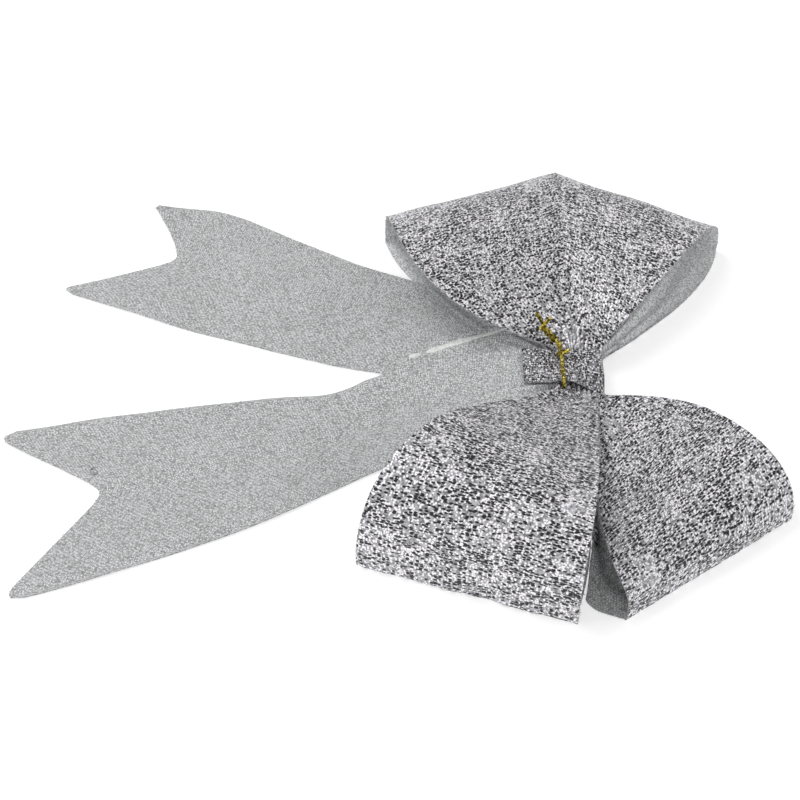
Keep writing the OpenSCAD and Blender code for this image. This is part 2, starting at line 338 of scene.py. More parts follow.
class Graph:
    """A material's node tree, written as short calls."""

    def __init__(self, name):
        self.material = bpy.data.materials.new(name)
        self.material.use_nodes = True
        self.tree = self.material.node_tree
        self.shader = self.tree.nodes["Principled BSDF"]

    def node(self, kind, inputs=None, **settings):
        node = self.tree.nodes.new(kind)
        for key, value in settings.items():
            setattr(node, key, value)
        for key, value in (inputs or {}).items():
            self.put(node.inputs[key], value)
        return node

    def put(self, socket, value):
        if isinstance(value, bpy.types.NodeSocket):
            self.tree.links.new(value, socket)
        else:
            socket.default_value = value

    def math(self, operation, a, b=0.0):
        return self.node("ShaderNodeMath", {0: a, 1: b}, operation=operation).outputs[0]

    def ramp(self, value, start, end, low=0.0, high=1.0):
        """value from start to end, mapped to low to high and kept between them."""
        return self.node("ShaderNodeMapRange", {0: value, 1: start, 2: end, 3: low, 4: high},
                         interpolation_type="SMOOTHSTEP").outputs[0]

    def colours(self, share, a, b):
        node = self.node("ShaderNodeMix", {0: share}, data_type="RGBA")
        self.put(node.inputs[6], a)
        self.put(node.inputs[7], b)
        return node.outputs[2]

    def ribbon(self, across_size, along_size, shift=0.0, slant=0.0):
        """The ribbon's own coordinates, in cells of the given size in millimetres."""
        source = self.node("ShaderNodeAttribute", attribute_name="ribbon")
        mapped = self.node("ShaderNodeMapping", {0: source.outputs["Vector"],
                                                 1: (shift, shift, 0),
                                                 2: (0, 0, slant),
                                                 3: (1 / across_size, 1 / along_size, 1)})
        return mapped.outputs[0]

    def cells(self, vector, randomness=1.0):
        """Cells over a plane: distance from the cell's middle, and its random colour."""
        node = self.node("ShaderNodeTexVoronoi", {"Vector": vector, "Scale": 1.0,
                                                  "Randomness": randomness},
                         voronoi_dimensions="2D")
        parts = self.node("ShaderNodeSeparateColor", {0: node.outputs["Color"]})
        return node.outputs["Distance"], parts.outputs

    def noise(self, vector, scale, detail=2.0):
        node = self.node("ShaderNodeTexNoise", {"Vector": vector, "Scale": scale,
                                                "Detail": detail},
                         noise_dimensions="3D")
        return node.outputs[0]

    def bump(self, height, strength, distance_mm):
        return self.node("ShaderNodeBump", {"Height": height, "Strength": strength,
                                            "Distance": distance_mm * MM}).outputs[0]

    def place(self):
        return self.node("ShaderNodeTexCoord").outputs["Object"]

    def picked(self, chance, share, gap, spot):
        """1 in the spots of a random share of the cells and 0 elsewhere. spot is the
        distance from a cell's middle where its spot begins to fade, and where it ends."""
        chosen = self.math("LESS_THAN", chance, share)
        return self.math("MULTIPLY", chosen, self.ramp(gap, *spot, 1.0, 0.0))

    def spread(self, chance, low, high):
        """A random number from low to high for each cell."""
        return self.ramp(chance, 0.0, 1.0, low, high)

    def tinted(self, level, red, green, blue):
        """A grey of that level, with a slight tint."""
        parts = [self.math("MULTIPLY", level, part) for part in (red, green, blue)]
        return self.node("ShaderNodeCombineColor", dict(enumerate(parts))).outputs[0]

    def finish(self, colour, roughness, normal, metallic=0.0, specular=0.5, sheen=0.0):
        self.put(self.shader.inputs["Base Color"], colour)
        self.put(self.shader.inputs["Roughness"], roughness)
        self.put(self.shader.inputs["Normal"], normal)
        self.put(self.shader.inputs["Metallic"], metallic)
        self.shader.inputs["Specular IOR Level"].default_value = specular
        self.shader.inputs["Sheen Weight"].default_value = sheen
        return self.material


# The glitter's near-black dashes are painted shade in the gaps between its lumps, and its
# near-white flecks painted glints of its flakes.
FLECK_GLINT_COLOUR = (0.98, 0.9506, 0.9996, 1)
DASH_SHADE_COLOUR = (0.01, 0.01, 0.011, 1)
POINT_COLOUR = (0.93575, 0.9405, 0.9785, 1)

# Spots of the cloths: distance from a cell's middle where a spot begins to fade and ends
DASH_SPOT = (0.42, 0.48)
FLECK_SPOT = (0.42, 0.5)
POINT_SPOT = (0.22, 0.32)

# Cell sizes across and along the ribbon: shares of a dash's for the glitter's ground and
# flecks, and millimetres for patches, the reverse's grain, its points and its clouds
GROUND_CELL = (0.36, 0.75)
FLECK_CELL = (0.5, 1.05)
PATCH_CELL = (16.0, 10.0)
GRAIN = 0.42
FINE_GRAIN = (GRAIN * 0.55, GRAIN * 0.7)
POINT_CELL = (0.9, 0.8)
CLOUD_CELL = (24.0, 18.0)


def glitter_material(name, dash_across, dash_along, dark_share, white_share, mid_level):
    """Silver glitter cloth: dark dashes and white flecks along the weft on a grey ground. The
    near-black dashes are painted shade in the gaps between the glitter's lumps, the
    near-white flecks painted glints of its flakes, and random patches change how many dashes
    there are.
    """
    g = Graph(name)
    _, ground = g.cells(g.ribbon(dash_across * GROUND_CELL[0], dash_along * GROUND_CELL[1],
                                 shift=7.3))
    dash_gap, dash = g.cells(g.ribbon(dash_across, dash_along))
    fleck_gap, fleck = g.cells(g.ribbon(dash_across * FLECK_CELL[0],
                                        dash_along * FLECK_CELL[1], shift=3.1))
    patch = g.noise(g.ribbon(*PATCH_CELL), 1.0)
    base = g.tinted(g.spread(ground[0], mid_level * 0.5, mid_level * 1.45), 1, 1, 1.05)
    # Random patches change how many dashes of painted shade there are.
    dark_here = g.ramp(patch, 0.3, 0.7, dark_share * 0.55, dark_share * 1.4)
    dark = g.picked(dash[0], dark_here, dash_gap, DASH_SPOT)
    white = g.picked(g.math("SUBTRACT", 1.0, fleck[1]), white_share, fleck_gap, FLECK_SPOT)
    # Painted glints as white flecks, then painted shade as dark dashes, over the grey ground.
    colour = g.colours(white, base, FLECK_GLINT_COLOUR)
    colour = g.colours(dark, colour, DASH_SHADE_COLOUR)
    relief = g.math("ADD", g.math("MULTIPLY", ground[2], 0.6),
                    g.math("MULTIPLY", g.math("SUBTRACT", white, dark), 0.8))
    return g.finish(colour, g.spread(ground[1], 0.24, 0.6), g.bump(relief, 0.5, 0.12),
                    metallic=0.15)


def reverse_material(name, level):
    """The ribbon's matte back: a fine, even weave with pale points and a twill slant."""
    g = Graph(name)
    _, cell = g.cells(g.ribbon(GRAIN, GRAIN, slant=0.6), randomness=0.5)
    _, fine = g.cells(g.ribbon(*FINE_GRAIN, shift=5.0))
    point_gap, point = g.cells(g.ribbon(*POINT_CELL, slant=0.5), randomness=0.45)
    twill = g.node("ShaderNodeTexWave", {"Vector": g.ribbon(1.0, 1.0, slant=0.75),
                                         "Scale": 0.36, "Distortion": 1.2, "Detail": 1.0},
                   wave_type="BANDS").outputs["Fac"]
    cloud = g.noise(g.ribbon(*CLOUD_CELL), 1.0)
    tone = level
    for part in (g.spread(cell[0], 0.62, 1.30), g.spread(fine[1], 0.82, 1.18),
                 g.ramp(twill, 0.0, 1.0, 0.985, 1.015), g.ramp(cloud, 0.3, 0.7, 0.97, 1.03)):
        tone = g.math("MULTIPLY", part, tone)
    base = g.tinted(tone, 1, 1.008, 1.012)
    spot = g.picked(g.math("SUBTRACT", 1.0, point[1]), 0.6, point_gap, POINT_SPOT)
    colour = g.colours(g.math("MULTIPLY", spot, 0.75), base, POINT_COLOUR)
    relief = g.math("ADD", g.math("MULTIPLY", cell[2], 0.5), g.math("MULTIPLY", twill, 0.5))
    return g.finish(colour, g.spread(cell[2], 0.5, 0.75), g.bump(relief, 0.35, 0.06),
                    specular=0.4, sheen=0.08)


def cut_edge_material():
    """Cut edges and loose fibres: pale ends with darker specks."""
    g = Graph("cut_edge")
    gap, cell = g.cells(g.ribbon(0.5, 0.35))
    colour = g.tinted(g.spread(cell[0], 0.16, 0.58), 1, 1, 1.04)
    return g.finish(colour, 0.6, g.bump(gap, 0.3, 0.05), specular=0.4)


def tinsel_material():
    """Gold foil slivers: each facet a random tone from dark olive to bright yellow; the
    bright yellow facets are painted highlights.
    """
    g = Graph("gold_tinsel")
    speck = g.node("ShaderNodeTexVoronoi", {"Vector": g.place(), "Scale": 1700.0})
    tone = g.node("ShaderNodeSeparateColor", {0: speck.outputs["Color"]}).outputs[0]
    colour = g.colours(g.ramp(tone, 0.15, 0.6), (0.10, 0.075, 0.004, 1),
                       (0.40, 0.30, 0.02, 1))
    # Painted highlights: the brightest facets turn bright yellow.
    colour = g.colours(g.ramp(tone, 0.72, 0.9), colour, (0.90, 0.78, 0.20, 1))
    return g.finish(colour, g.ramp(tone, 0.0, 1.0, 0.2, 0.45),
                    g.bump(tone, 0.4, 0.1), metallic=0.75)


def glue_material():
    """A skin of clear adhesive that has dried pale, with fine bubbles."""
    g = Graph("dried_glue")
    bubbles = g.noise(g.place(), 1400.0, 3.0)
    colour = g.colours(g.ramp(bubbles, 0.35, 0.65), (0.68, 0.69, 0.67, 1),
                       (0.84, 0.85, 0.83, 1))
    return g.finish(colour, g.ramp(bubbles, 0.3, 0.7, 0.25, 0.45), g.bump(bubbles, 0.3, 0.1),
                    specular=0.6)


def wire_material():
    """Thin drawn steel wire with fine lines along it."""
    g = Graph("tie_wire_steel")
    lines = g.noise(g.place(), 4000.0, 2.0)
    colour = g.colours(lines, (0.32, 0.32, 0.33, 1), (0.5, 0.5, 0.52, 1))
    return g.finish(colour, 0.35, g.bump(lines, 0.2, 0.02), metallic=1.0)


def floor_material():
    g = Graph("studio_floor")
    cloud = g.noise(g.place(), 3.0)
    colour = g.colours(cloud, (0.6, 0.6, 0.6, 1), (0.63, 0.63, 0.63, 1))
    material = g.finish(colour, 0.9, g.bump(cloud, 0.02, 0.1), specular=0.1)
    g.shader.inputs["Emission Color"].default_value = (1, 1, 1, 1)
    g.shader.inputs["Emission Strength"].default_value = FLOOR_GLOW
    return material


GLITTER = glitter_material("loop_glitter", 1.36, 0.68, 0.52, 0.54, 0.37)
BAND_GLITTER = glitter_material("band_glitter", 1.0, 0.58, 0.56, 0.38, 0.25)
TAIL_REVERSE = reverse_material("tail_reverse", 0.41)
# A lighter copy of the same reverse cloth, its extra lightness painted light; the far loops'
# insides and the band's back use it.
LIT_LOOP_REVERSE = reverse_material("loop_reverse_painted_light", 0.67)
CUT_EDGE = cut_edge_material()
TINSEL = tinsel_material()
GLUE = glue_material()
WIRE = wire_material()


# ---------------------------------------------------------------- loops

# Each edge of a loop: plan curve of the back layer from the waist to the fold, crest and
# sag of its side outline, height at the waist, and plan curve of the front layer, from
# the fold to the waist. The inner edge lies beside the neighbouring loop.
FAR_INNER = dict(back=[(4, 9.2), (4, 96.5)], crest=20, sag=0.74, root_z=8.0,
                 front=[(4, 96.5), (4, 9.2)])
LOOPS = {
    "far_left": dict(
        inner=FAR_INNER,
        outer=dict(back=[(-1, 9.2), (-27.5, 9.5), (-50, 15.5), (-54.5, 72)],
                   crest=23.6, sag=0.99, root_z=8.0,
                   front=[(-54.5, 72), (-50.5, 56), (-41, 40), (-4, 9.2)]),
        nodes=["loop_far_left", "ring_1_front_gather"]),
    "far_right": dict(
        inner=FAR_INNER,
        outer=dict(back=[(12.9, 9.2), (18.2, 9.5), (42.6, 38.8), (58, 67)],
                   crest=18, sag=1.29, root_z=8.0,
                   front=[(58, 67), (54, 46), (30, 26), (12.5, 9.2)]),
        nodes=["loop_far_right", "ring_2_front_gather"]),
    "near_left": dict(
        inner=dict(back=[(10.9, -9.2), (7.4, -31.4), (4.8, -70.2), (-2.1, -92.8)],
                   crest=35.6, sag=0.36, root_z=4.8,
                   front=[(-2.1, -92.8), (-2.6, -84), (8, -78), (5, -9.2)]),
        outer=dict(back=[(-2, -9.2), (-32.8, -34.3), (-36.1, -40), (-61.4, -71.7)],
                   crest=33.3, sag=0.83, root_z=8.0,
                   front=[(-61.4, -71.7), (-48, -62), (-20, -28), (-3, -9.2)]),
        nodes=["loop_near_left", "ring_2_back_gather"]),
    "near_right": dict(
        inner=dict(back=[(8, -9.2), (9.5, -26.9), (1.5, -79.8), (11.2, -90.8)],
                   crest=15.9, sag=0.0, root_z=4.0,
                   front=[(11.2, -90.8), (1.9, -85.7), (-10.7, -94.7), (11.5, -9.2)]),
        outer=dict(back=[(11.8, -9.2), (41, -9.2), (46.3, -30.5), (61.3, -55.5)],
                   crest=20.7, sag=0.37, root_z=5.0,
                   front=[(61.3, -55.5), (56, -36), (40, -14), (12.5, -9.2)]),
        nodes=["loop_near_right", "ring_1_back_gather"]),
}
LOOP_ROWS = 150
LOOP_COLUMNS = 57
LOOP_PLEATS = 8
LOOP_FIBRES = 150
LOOP_FIBRE = 1.3

# Steps along an edge, along its lead inside the band and along the near loops' seam
EDGE_STEPS = 160
LEAD_STEPS = 12
SEAM_STEPS = 120

# Extra rows at the fold: how far they reach before and after it, and how many
FOLD_BEFORE = 8
FOLD_AFTER = 5
FOLD_ROWS = 18
FOLD_ROUNDINGS = 3

# Lines between neighbouring loops: gaps, the far loops' line, and over what distance from
# the hinge line the near loops come to be kept apart
SEAM_GAP = 0.2
FAR_SEAM_GAP = 0.08
FAR_SEAM_X = 4.0
SEAM_START = (1, 6)
NO_LIMIT_X = -30.0

# Where a loop's pleats change: beyond the band's edge in the back layer, in the front one
# and in its rise off the floor, after the fold, and by the edges as shares of the width
BACK_PLEATS_FADE = (-6, -3)
FRONT_PLEATS_GROW = (-1, 3)
PLEATS_RISE = (0, 5)
PLEATS_AFTER_FOLD = 12
OUTER_EDGE_FADE = (0.6, 0.85)
INNER_EDGE_FADE = (0.86, 0.95)

# A loop's unevenness: height and wavelength, and where beyond the band it grows
LOOP_WAVE = (0.5, 30)
LOOP_WAVE_GROWS = (2, 22)


def back_outline(edge, t):
    """Share of the reach and height along an edge's back layer, from waist to fold."""
    handles = [(0, edge["root_z"]), (SAG_SHARE, edge["sag"] * edge["crest"]),
               (FOLD_LEAN, FOLD_RISE * edge["crest"]), (1, FLOOR_LAYER_Z)]
    return bezier(handles, t)


def loop_edge(edge, side):
    """Line of one edge of a loop, from inside the band out along the back layer, round
    the fold and in along the front layer. side is 1 for a far loop and -1 for a near one."""
    fine = np.linspace(0, 1, EDGE_STEPS)
    outline = back_outline(edge, fine)
    back = np.column_stack([bezier(edge["back"], outline[:, 0]), outline[:, 1]])
    plan = bezier(edge["front"], fine)[1:]
    near_waist = 1 - smooth_step(np.abs(plan[:, 1]), ROOT_Y, ROOT_Y + FRONT_FALL_Y)
    front = np.column_stack([plan, mix(FLOOR_LAYER_Z, WAIST_FRONT_Z, near_waist)])
    into = np.linspace(0, 1, LEAD_STEPS)[1:, None]
    start = back[0] * [1, 0, 0] + [0, side * WAIST_MIDDLE_Y, min(WAIST_BACK_Z, back[0, 2])]
    end = front[-1] * [1, 0, 1] + [0, side * WAIST_MIDDLE_Y, 0]
    lead_in = mix(start, back[0], into[:-1])
    lead_in[:, 2] = mix(start[2], back[0, 2], smooth_step(into[:-1, 0], 0, 1))
    lead_out = mix(front[-1], end, into)
    return np.vstack([start[None], lead_in, back, front, lead_out])


def hinge_distance(points):
    """Distance of points from the loops' hinge line on their own side of the waist."""
    return np.hypot(np.abs(points[..., 1]) - HINGE_Y, points[..., 2] - HINGE_Z)


def near_seam(distance):
    """Plan x of the line where the near-left loop's inner edge lies, by hinge distance."""
    edge = LOOPS["near_left"]["inner"]
    outline = back_outline(edge, np.linspace(0, 1, SEAM_STEPS))
    line = np.column_stack([bezier(edge["back"], outline[:, 0]), outline[:, 1]])
    away = hinge_distance(line)
    order = np.argsort(away)
    return np.interp(distance, away[order], line[order, 0])


def keep_to_own_side(name, grid):
    """Loops that lie side by side keep apart at each distance from their hinge line, so
    that each can lift past the other."""
    if name.startswith("far"):
        seam, reach, gap = FAR_SEAM_X, 1.0, FAR_SEAM_GAP
    else:
        away = hinge_distance(grid)
        seam, reach, gap = near_seam(away), smooth_step(away, *SEAM_START), SEAM_GAP
    if name.endswith("left"):
        grid[..., 0] = np.minimum(grid[..., 0], seam - gap / 2)
    else:
        low = mix(NO_LIMIT_X, seam + gap / 2, reach)
        grid[..., 0] = np.maximum(grid[..., 0], low)
    return grid


def pleat_heights(wanted, length, fold, across):
    """Height of a loop's pleats at each grid point, and how much of each lies on the
    floor. The front layer has high pleats, lower by its edges; the back layer that shows
    has faint ones; and inside the band both have the same."""
    back_out = wanted - ROOT_Y
    front_out = length - ROOT_Y - wanted
    shown = SHOWN_PLEAT * np.exp(-(np.maximum(back_out, 0) / SHOWN_FADE) ** 2)
    shown = shown + FAINT_PLEAT * np.exp(-(back_out / FAINT_FADE) ** 2)
    shown = mix(HIDDEN_PLEAT, shown, smooth_step(back_out, *BACK_PLEATS_FADE))
    floor = FLOOR_PLEAT * np.exp(-(np.maximum(front_out, 0) / FLOOR_FADE) ** 2)
    floor = mix(HIDDEN_PLEAT, floor, smooth_step(front_out, *FRONT_PLEATS_GROW))
    inner_edge = smooth_step(1 - across, *INNER_EDGE_FADE)
    outer_edge = smooth_step(across, *OUTER_EDGE_FADE)
    by_edge = mix(1, FLOOR_EDGE_SHARE, np.maximum(outer_edge, inner_edge))
    after_fold = smooth_step(wanted, fold, fold + PLEATS_AFTER_FOLD)[:, None]
    height = mix(shown[:, None], floor[:, None] * by_edge[None, :], after_fold)
    on_floor = height * after_fold * smooth_step(back_out, *PLEATS_RISE)[:, None]
    return height, on_floor


def loop_grid(name, spec, rng):
    """A loop's middle surface, with each row's distance along the ribbon and the weave's
    coordinates along and across it."""
    side = 1 if name.startswith("far") else -1
    inner, outer = loop_edge(spec["inner"], side), loop_edge(spec["outer"], side)
    across = np.linspace(0, 1, LOOP_COLUMNS)
    fine = mix(inner[:, None], outer[:, None], across[None, :, None])
    middle = fine[:, LOOP_COLUMNS // 2]
    run = lengths_along(middle)
    length = run[-1]
    fold = run[np.argmax(np.abs(middle[:, 1]))]
    even = np.linspace(0, length, LOOP_ROWS)
    about_fold = np.linspace(fold - FOLD_BEFORE, fold + FOLD_AFTER, FOLD_ROWS)
    wanted = np.unique(np.concatenate([even, about_fold]))
    grid = np.stack([resampled(wanted, run, fine[:, c]) for c in range(LOOP_COLUMNS)], 1)
    grid = round_fold(grid)
    grid = keep_to_own_side(name, grid)
    from_waist = np.minimum(wanted, length - wanted)
    tighter = mix(WAIST_WEAVE, 1, smooth_step(from_waist, *WAIST_WEAVE_FADE))
    weave_across = distances_across(grid) * tighter[:, None]
    weave_along = np.cumsum(np.diff(wanted, prepend=0.0) / tighter)
    normals = surface_normals(grid)
    height, on_floor = pleat_heights(wanted, length, fold, across)
    free = smooth_step(from_waist - ROOT_Y, *LOOP_WAVE_GROWS)[:, None]
    waves = undulation(wanted[:, None], across[None, :] * RIBBON_W, rng, *LOOP_WAVE)
    bend = gathers(grid, LOOP_PLEATS, height) + free * waves
    grid = grid + normals * bend[..., None]
    grid[..., 2] += on_floor
    grid[..., 2] = np.maximum(grid[..., 2], FLOOR_LAYER_Z - DEEPEST_SAG)
    return grid, wanted, weave_along, weave_across


def round_fold(grid):
    """Rounds the turns along the ribbon a little, and keeps both ends."""
    for _ in range(FOLD_ROUNDINGS):
        middle = (grid[:-2] + 2 * grid[1:-1] + grid[2:]) / 4
        grid = np.concatenate([grid[:1], middle, grid[-1:]])
    return grid


def make_loop(name, spec, seed):
    rng = np.random.default_rng(seed)
    grid, along, weave_along, weave_across = loop_grid(name, spec, rng)
    back_rows = slice(len(along) // 5, len(along) // 3)
    flip = surface_normals(grid)[back_rows, :, 2].mean() < 0
    is_far = name.startswith("far")
    # Lit and shaded copies of one reverse: the far loops get the lighter copy, as painted
    # light in their insides, and the near loops the darker tails' reverse, as painted shade
    # in theirs.
    reverse = LIT_LOOP_REVERSE if is_far else TAIL_REVERSE
    loop = sheet_object("ribbon_" + name, grid, weave_along, weave_across,
                        [GLITTER, reverse, CUT_EDGE], rng, flip,
                        ("first", "last"), LOOP_FIBRES, LOOP_FIBRE)
    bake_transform(loop)
    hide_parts(*spec["nodes"])


# ---------------------------------------------------------------- tails

# Plan points of each tail's two selvedges, from inside the band to the cut end
TAILS = {
    "tail_far": dict(
        lower=[(2, -6.0), (0, -6.4), (-12, -8), (-26, -5), (-42, 0.5), (-53.9, 5.1),
               (-71.8, 9.7), (-96.6, 18.6), (-119, 26.8), (-141, 36.7), (-163.3, 46.5)],
        upper=[(2, 6.0), (0, 6.4), (-12, 9.5), (-24, 22), (-34, 36), (-42.4, 47.4),
               (-64.7, 59.9), (-82.8, 70.9), (-106, 85.6), (-119.7, 89.8), (-135.2, 88.2)],
        notch=27.4, tips=(4.4, 1.2), root_z=7.1, inside_z=4.0, curl=3.0, shown=(16, 27, 0.08),
        nodes=["tail_far", "tail_far_root"]),
    "tail_near": dict(
        lower=[(2, -6.0), (0, -7.4), (-5, -10), (-12, -14), (-25, -20.5), (-40, -28),
               (-56.3, -36.4), (-63.3, -40.4), (-86.5, -55.1), (-108.4, -65.9),
               (-135.5, -77.4), (-158.3, -85.7)],
        upper=[(2, 6.0), (0, 6.4), (-7, 12), (-16.5, 19.6), (-28, 19.2), (-40.5, 17),
               (-46, 13.4), (-54, 5), (-60.4, 2), (-65.6, -1.2), (-74, -4.4),
               (-92.5, -6.1), (-129, -12.3), (-144.5, -15.3), (-171.2, -22.2)],
        notch=33.0, tips=(5.0, 4.6), root_z=7.9, inside_z=5.6, curl=0.8, shown=(4, 12, 0.27),
        nodes=["tail_near", "tail_near_root", "tail_gather"]),
}
TAIL_ROWS = 130
TAIL_COLUMNS = 44
TAIL_STEPS = 400
NOTCH_ROUND = 0.09
TIP_BLUNTNESS = 1.5
TAIL_PLEATS = 7
TAIL_PLEAT = 1.1
TAIL_FLAT_Z = 0.3
TAIL_FALL_START = -14.0
TAIL_FALL_LENGTH = 56.0
TAIL_EDGE_CROWDING = 0.35
TAIL_FIBRES = 110
TAIL_FIBRE = 0.9
CURL_REACH = 15.0
PLEAT_END = 40

# Plan ranges where a tail sinks into the band, and where the near one rises over the far
INSIDE_X = (-10, -1)
OVERLAP_START_X = (-66, -53)
OVERLAP_END_X = (-30, -18)
OVERLAP_Y = (-10, 2)
OVERLAP_LIFT = 0.55

# A tail's unevenness: height and wavelength, its mean rise, and where it grows
TAIL_WAVE = (0.35, 45)
TAIL_WAVE_LIFT = 0.3
TAIL_WAVE_GROWS = (50, 80)


def cut_reach(across, length, notch, tips):
    """Share of its length that each thread of a tail has, with a rounded fishtail cut."""
    from_middle = np.sqrt((2 * across - 1) ** 2 + NOTCH_ROUND ** 2)
    reach = 1 - notch * np.clip(1 - from_middle, 0, 1) / length
    for from_edge, radius in zip((across, 1 - across), tips):
        inside = np.clip(radius - from_edge * RIBBON_W, 0, radius)
        rounding = radius - np.sqrt(radius ** 2 - inside ** 2)
        reach = reach - TIP_BLUNTNESS * rounding / length
    return reach


def tail_grid(name, spec, rng):
    """A tail's middle surface, with the weave's coordinates and the tail's length."""
    across = np.linspace(0, 1, TAIL_COLUMNS)
    edge_bias = 0.5 - 0.5 * np.cos(math.pi * across)
    across = mix(across, edge_bias, TAIL_EDGE_CROWDING)
    fine = np.linspace(0, 1, TAIL_STEPS)
    lower, upper = smooth_path(spec["lower"], fine), smooth_path(spec["upper"], fine)
    length = (lengths_along(lower)[-1] + lengths_along(upper)[-1]) / 2
    reach = cut_reach(across, length, spec["notch"], spec["tips"])
    steps = np.linspace(0, 1, TAIL_ROWS)
    grid = np.zeros((TAIL_ROWS, TAIL_COLUMNS, 3))
    for c, share in enumerate(across):
        grid[:, c, :2] = resampled(steps * reach[c], fine, mix(lower, upper, share))
    x, y = grid[..., 0], grid[..., 1]
    fall = np.clip((TAIL_FALL_START - x) / TAIL_FALL_LENGTH, 0, 1)
    grid[..., 2] = TAIL_FLAT_Z + (spec["root_z"] - TAIL_FLAT_Z) * (1 - fall) ** 2
    grid[..., 2] += (spec["inside_z"] - spec["root_z"]) * smooth_step(x, *INSIDE_X)
    if name == "tail_near":
        over = smooth_step(x, *OVERLAP_START_X) * (1 - smooth_step(x, *OVERLAP_END_X))
        grid[..., 2] += OVERLAP_LIFT * over * smooth_step(y, *OVERLAP_Y)
    tip = grid[-1, -1, :2]
    from_tip = np.clip(1 - np.hypot(x - tip[0], y - tip[1]) / CURL_REACH, 0, 1)
    grid[..., 2] += spec["curl"] * from_tip ** 2
    along = steps * length
    weave_across = distances_across(grid)
    shown_from, shown_to, shown_height = spec["shown"]
    out = -x.mean(axis=1)
    height = mix(TAIL_PLEAT, shown_height, smooth_step(out, shown_from, shown_to))
    height = height * (1 - smooth_step(out, shown_to, shown_to + PLEAT_END))
    grid[..., 2] += gathers(grid, TAIL_PLEATS, height[:, None])
    waves = undulation(along[:, None], across[None, :] * RIBBON_W, rng, *TAIL_WAVE)
    grid[..., 2] += (waves + TAIL_WAVE_LIFT) * smooth_step(-x, *TAIL_WAVE_GROWS)
    grid[..., 2] = np.maximum(grid[..., 2], TAIL_FLAT_Z - DEEPEST_SAG)
    return grid, along, weave_across, length


def make_tail(name, spec, seed):
    rng = np.random.default_rng(seed)
    grid, along, across, length = tail_grid(name, spec, rng)
    flip = surface_normals(grid)[..., 2].mean() < 0
    tail = sheet_object("ribbon_" + name, grid, along, across,
                        [TAIL_REVERSE, GLITTER, CUT_EDGE], rng, flip,
                        ("first", "last", "end"), TAIL_FIBRES, TAIL_FIBRE)
    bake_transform(tail)
    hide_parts(*spec["nodes"])
    return tail


# ---------------------------------------------------------------- band

BAND_HALF = 7.5
BAND_TOP_Z = 9.2
BAND_BOTTOM_Z = 0.3
BAND_LEFT_X = -12.0
BAND_RIGHT_X = 12.7
BAND_WALL_X = -4.9
BAND_CORNER = 2.0
BAND_PINCH = 1.2
BAND_ROWS = 110
BAND_COLUMNS = 22
BAND_T = 0.4
BAND_FIBRES = 40
BAND_FIBRE = 0.6
BAND_WAVE = (0.18, 9)
BAND_WAVE_GROWS = (1, 4)

# Where the band goes up again inside, under its top
BAND_END_Z = 5.4

# The tie's pinch in the band: half length along the band of its sides and of its dip, and
# the dip's depth
PINCH_LENGTH = 3.2
DIP_LENGTH = 2.0
DIP_DEPTH = 0.35

# The near right corner hangs down: by how much, and from where on the top it starts
SLUMP = 4.6
SLUMP_START_X = 2
SLUMP_START_Y = 2.2
SLUMP_Z = (2, 9)


def rounded_path(corners, radius, steps=8):
    """A polyline whose inner corners are rounded with arcs of about that radius."""
    corners = np.asarray(corners, float)
    line = [corners[0]]
    for before, corner, after in zip(corners, corners[1:], corners[2:]):
        back = (before - corner) / np.linalg.norm(before - corner)
        on = (after - corner) / np.linalg.norm(after - corner)
        line += list(bezier([corner + back * radius, corner, corner + on * radius],
                            np.linspace(0, 1, steps)))
    line.append(corners[-1])
    return np.array(line)


def band_grid(rng):
    """The band's middle surface, with the weave's coordinates along and across it."""
    section = rounded_path([(BAND_LEFT_X, BAND_TOP_Z), (BAND_RIGHT_X, BAND_TOP_Z),
                            (BAND_RIGHT_X, BAND_BOTTOM_Z), (BAND_WALL_X, BAND_BOTTOM_Z),
                            (BAND_WALL_X, BAND_END_Z)], BAND_CORNER)
    run = lengths_along(section)
    along = np.linspace(0, run[-1], BAND_ROWS)
    across = np.linspace(-1, 1, BAND_COLUMNS)
    line = resampled(along, run, section)
    x, z = line[:, :1], line[:, 1:]
    on_top = smooth_step(z, BAND_TOP_Z - 2.5, BAND_TOP_Z - 0.2)
    pinch = BAND_PINCH * np.exp(-(x / PINCH_LENGTH) ** 2) * on_top
    y = across[None, :] * (BAND_HALF - pinch)
    dip = DIP_DEPTH * np.exp(-(x / DIP_LENGTH) ** 2) * on_top
    near = smooth_step(-y, SLUMP_START_Y, BAND_HALF)
    slump = SLUMP * smooth_step(x, SLUMP_START_X, BAND_RIGHT_X) * near
    slump = slump * smooth_step(z, *SLUMP_Z)
    ripple = undulation(along[:, None], y, rng, *BAND_WAVE) * smooth_step(z, *BAND_WAVE_GROWS)
    grid = np.stack(np.broadcast_arrays(x + 0 * y, y, z - dip - slump + ripple), -1)
    return grid, along, distances_across(grid)


def make_band(seed):
    rng = np.random.default_rng(seed)
    grid, along, across = band_grid(rng)
    flip = surface_normals(grid)[: BAND_ROWS // 4, :, 2].mean() < 0
    band = sheet_object("waist_band", grid, along, across,
                        [BAND_GLITTER, LIT_LOOP_REVERSE, CUT_EDGE], rng, flip,
                        ("first", "last"), BAND_FIBRES, BAND_FIBRE, thickness=BAND_T)
    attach(band, "waist")
    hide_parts("centre_band")


# ---------------------------------------------------------------- tie

